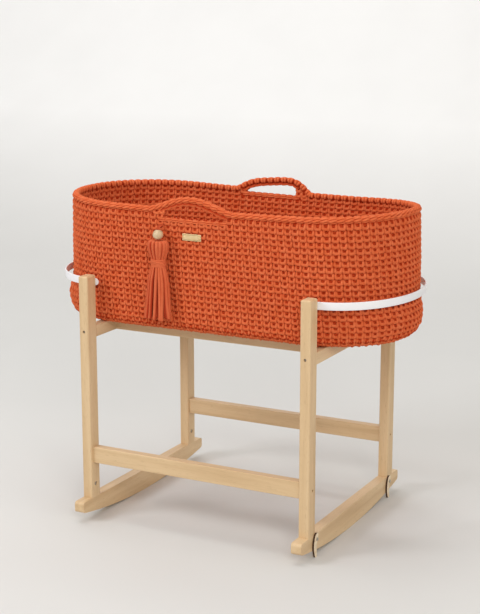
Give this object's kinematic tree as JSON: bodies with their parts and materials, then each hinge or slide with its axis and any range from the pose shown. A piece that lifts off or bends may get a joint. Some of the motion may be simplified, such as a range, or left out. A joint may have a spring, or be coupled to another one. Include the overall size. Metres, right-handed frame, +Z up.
{
  "type": "bassinet on stand",
  "caption": "Oval crocheted bassinet basket with arched handles and a tassel, resting on a beech rocking stand with bent side bands.",
  "frame": {"origin": "on the floor, under the middle of the stand", "axes": "+X to the right along the basket, +Y to the back, +Z up"},
  "size_m": [0.82, 0.53, 0.7305],
  "materials": {
    "beech": "clear satin lacquer on pale beech",
    "white_band": "smooth satin white",
    "zinc_steel": "dull zinc plate",
    "laser_cut_plywood": "pale birch plywood with a burnt cut edge",
    "crochet_cord": "crocheted cotton cord, matte",
    "tassel_cord": "twisted cotton cord, matte",
    "turned_bead": "turned, waxed",
    "label_brass": "satin brass, blank",
    "board": "thin plywood, unfinished",
    "mattress_cover": "off-white woven cotton cover"
  },
  "bodies": {
    "stand": {"front_left_leg": "beech", "front_right_leg": "beech", "back_left_leg": "beech", "back_right_leg": "beech", "left_rocker": "beech", "right_rocker": "beech", "front_lower_rail": "beech", "back_lower_rail": "beech", "left_cross_rail": "beech", "right_cross_rail": "beech", "front_support_rail": "beech", "back_support_rail": "beech", "left_band": "white_band", "right_band": "white_band", "lower_rail_screws": "zinc_steel", "cross_rail_screws": "zinc_steel", "rail_dowels": "beech", "rocker_bolts": "zinc_steel", "barrel_nuts": "zinc_steel", "band_screws": "zinc_steel", "stopper_screws": "zinc_steel"},
    "front_stopper": {"front_stopper": "laser_cut_plywood"},
    "back_stopper": {"back_stopper": "laser_cut_plywood"},
    "basket": {"basket_wall": "crochet_cord", "basket_floor": "crochet_cord", "left_rim_braid": "crochet_cord", "right_rim_braid": "crochet_cord", "front_handle": "crochet_cord", "back_handle": "crochet_cord", "label_plate": "label_brass", "label_rivets": "label_brass"},
    "tassel_loop": {"tassel_loop": "tassel_cord"},
    "tassel": {"tassel_bead": "turned_bead", "tassel_head": "tassel_cord", "tassel_wrap": "tassel_cord", "tassel_skirt": "tassel_cord"},
    "base_board": {"base_board": "board"},
    "mattress": {"mattress": "mattress_cover"}
  },
  "joints": [
    {"name": "front_stopper_swivel", "type": "hinge", "parent": "stand", "child": "front_stopper", "pos_m": [0.2748, -0.198, 0.038], "axis": [-1, 0, 0], "range_deg": [0, 100]},
    {"name": "back_stopper_swivel", "type": "hinge", "parent": "stand", "child": "back_stopper", "pos_m": [0.2748, 0.203, 0.038], "axis": [-1, 0, 0], "range_deg": [0, 100]},
    {"name": "basket_lift", "type": "slide", "parent": "stand", "child": "basket", "axis": [0, 0, 1], "range_m": [0, 0.3]},
    {"name": "tassel_lift", "type": "hinge", "parent": "basket", "child": "tassel_loop", "pos_m": [-0.091, -0.1884, 0.6585], "axis": [-1, 0, 0], "range_deg": [0, 70]},
    {"name": "tassel_swing", "type": "hinge", "parent": "tassel_loop", "child": "tassel", "pos_m": [-0.091, -0.2014, 0.6585], "axis": [0, 1, 0], "range_deg": [-30, 30]},
    {"name": "board_lift", "type": "slide", "parent": "basket", "child": "base_board", "axis": [0, 0, 1], "range_m": [0, 0.3]},
    {"name": "mattress_lift", "type": "slide", "parent": "base_board", "child": "mattress", "axis": [0, 0, 1], "range_m": [0, 0.3]}
  ]
}
